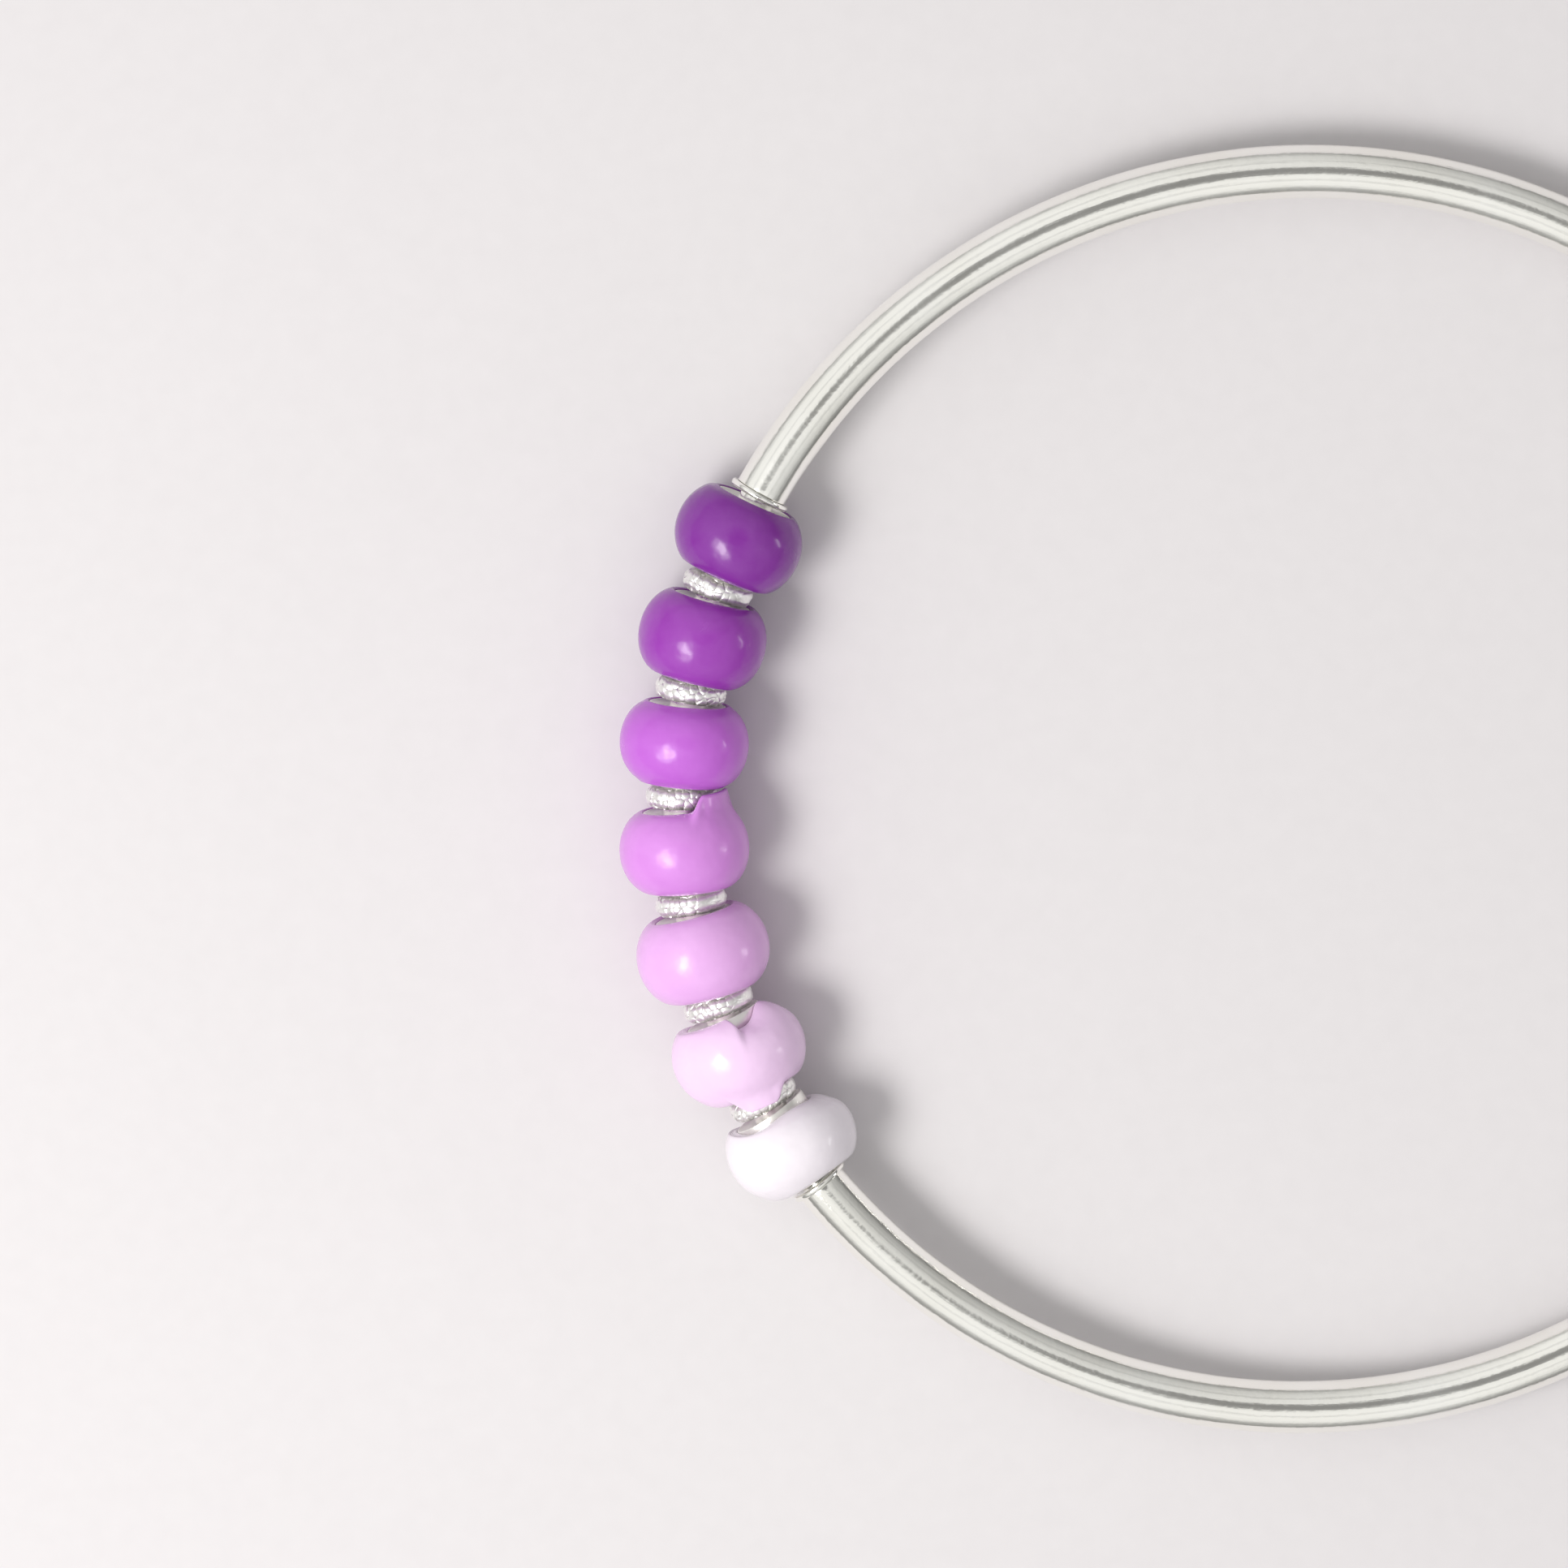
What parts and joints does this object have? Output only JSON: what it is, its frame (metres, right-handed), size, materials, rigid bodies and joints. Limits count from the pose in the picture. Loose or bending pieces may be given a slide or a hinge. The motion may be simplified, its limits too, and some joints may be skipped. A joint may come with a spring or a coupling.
{
  "type": "bangle bracelet",
  "caption": "Round silver slip-on bangle with a section of glossy enamel beads shading from deep purple to white, parted by textured silver collars, all turning freely on a core wire.",
  "frame": {"origin": "centre of the ring, in the plane of the tube's centreline", "axes": "+Z is the axis of the wrist opening, -X points from the ring's centre to the middle bead, and the deep purple end bead is towards +Y"},
  "size_m": [0.0677, 0.0656, 0.0068],
  "materials": {
    "silver_polished": "bright polished silver with fine drawing marks along the tube",
    "silver_textured": "silver cut in small irregular flats that sparkle",
    "enamel_1": "opaque glossy enamel, deep purple",
    "enamel_2": "opaque glossy enamel, purple",
    "enamel_3": "opaque glossy enamel, violet",
    "enamel_4": "opaque glossy enamel, light violet",
    "enamel_5": "opaque glossy enamel, lilac",
    "enamel_6": "opaque glossy enamel, pale lilac",
    "enamel_7": "opaque glossy enamel, near white with a lilac tint"
  },
  "bodies": {
    "band": {"bangle_tube": "silver_polished", "core_wire": "silver_polished", "end_collar_upper": "silver_polished", "end_collar_lower": "silver_polished"},
    "bead_1": {"bead_1": "enamel_1", "bead_liner_1": "silver_polished"},
    "spacer_1": {"spacer_1": "silver_textured"},
    "bead_2": {"bead_2": "enamel_2", "bead_liner_2": "silver_polished"},
    "spacer_2": {"spacer_2": "silver_textured"},
    "bead_3": {"bead_3": "enamel_3", "bead_liner_3": "silver_polished"},
    "spacer_3": {"spacer_3": "silver_textured"},
    "bead_4": {"bead_4": "enamel_4", "bead_liner_4": "silver_polished"},
    "spacer_4": {"spacer_4": "silver_textured"},
    "bead_5": {"bead_5": "enamel_5", "bead_liner_5": "silver_polished"},
    "spacer_5": {"spacer_5": "silver_textured"},
    "bead_6": {"bead_6": "enamel_6", "bead_liner_6": "silver_polished"},
    "spacer_6": {"spacer_6": "silver_textured"},
    "bead_7": {"bead_7": "enamel_7", "bead_liner_7": "silver_polished"}
  },
  "joints": [
    {"name": "bead_1_spin", "type": "hinge", "parent": "band", "child": "bead_1", "pos_m": [-0.02741, 0.01549, 0], "axis": [-0.4919, -0.8706, 0], "continuous": true},
    {"name": "spacer_1_spin", "type": "hinge", "parent": "band", "child": "spacer_1", "pos_m": [-0.02865, 0.01309, 0], "axis": [-0.4156, -0.9096, 0], "continuous": true},
    {"name": "bead_2_spin", "type": "hinge", "parent": "band", "child": "bead_2", "pos_m": [-0.02965, 0.01058, 0], "axis": [-0.3362, -0.9418, 0], "continuous": true},
    {"name": "spacer_2_spin", "type": "hinge", "parent": "band", "child": "spacer_2", "pos_m": [-0.03046, 0.00801, 0], "axis": [-0.2543, -0.9671, 0], "continuous": true},
    {"name": "bead_3_spin", "type": "hinge", "parent": "band", "child": "bead_3", "pos_m": [-0.03102, 0.00537, 0], "axis": [-0.1706, -0.9853, 0], "continuous": true},
    {"name": "spacer_3_spin", "type": "hinge", "parent": "band", "child": "spacer_3", "pos_m": [-0.03138, 0.0027, 0], "axis": [-0.0856, -0.9963, 0], "continuous": true},
    {"name": "bead_4_spin", "type": "hinge", "parent": "band", "child": "bead_4", "pos_m": [-0.03148, 0, 0], "axis": [0, -1, 0], "continuous": true},
    {"name": "spacer_4_spin", "type": "hinge", "parent": "band", "child": "spacer_4", "pos_m": [-0.03138, -0.0027, 0], "axis": [0.0856, -0.9963, 0], "continuous": true},
    {"name": "bead_5_spin", "type": "hinge", "parent": "band", "child": "bead_5", "pos_m": [-0.03102, -0.00537, 0], "axis": [0.1706, -0.9853, 0], "continuous": true},
    {"name": "spacer_5_spin", "type": "hinge", "parent": "band", "child": "spacer_5", "pos_m": [-0.03046, -0.00801, 0], "axis": [0.2543, -0.9671, 0], "continuous": true},
    {"name": "bead_6_spin", "type": "hinge", "parent": "band", "child": "bead_6", "pos_m": [-0.02965, -0.01058, 0], "axis": [0.3362, -0.9418, 0], "continuous": true},
    {"name": "spacer_6_spin", "type": "hinge", "parent": "band", "child": "spacer_6", "pos_m": [-0.02865, -0.01309, 0], "axis": [0.4156, -0.9096, 0], "continuous": true},
    {"name": "bead_7_spin", "type": "hinge", "parent": "band", "child": "bead_7", "pos_m": [-0.02741, -0.01549, 0], "axis": [0.4919, -0.8706, 0], "continuous": true}
  ]
}
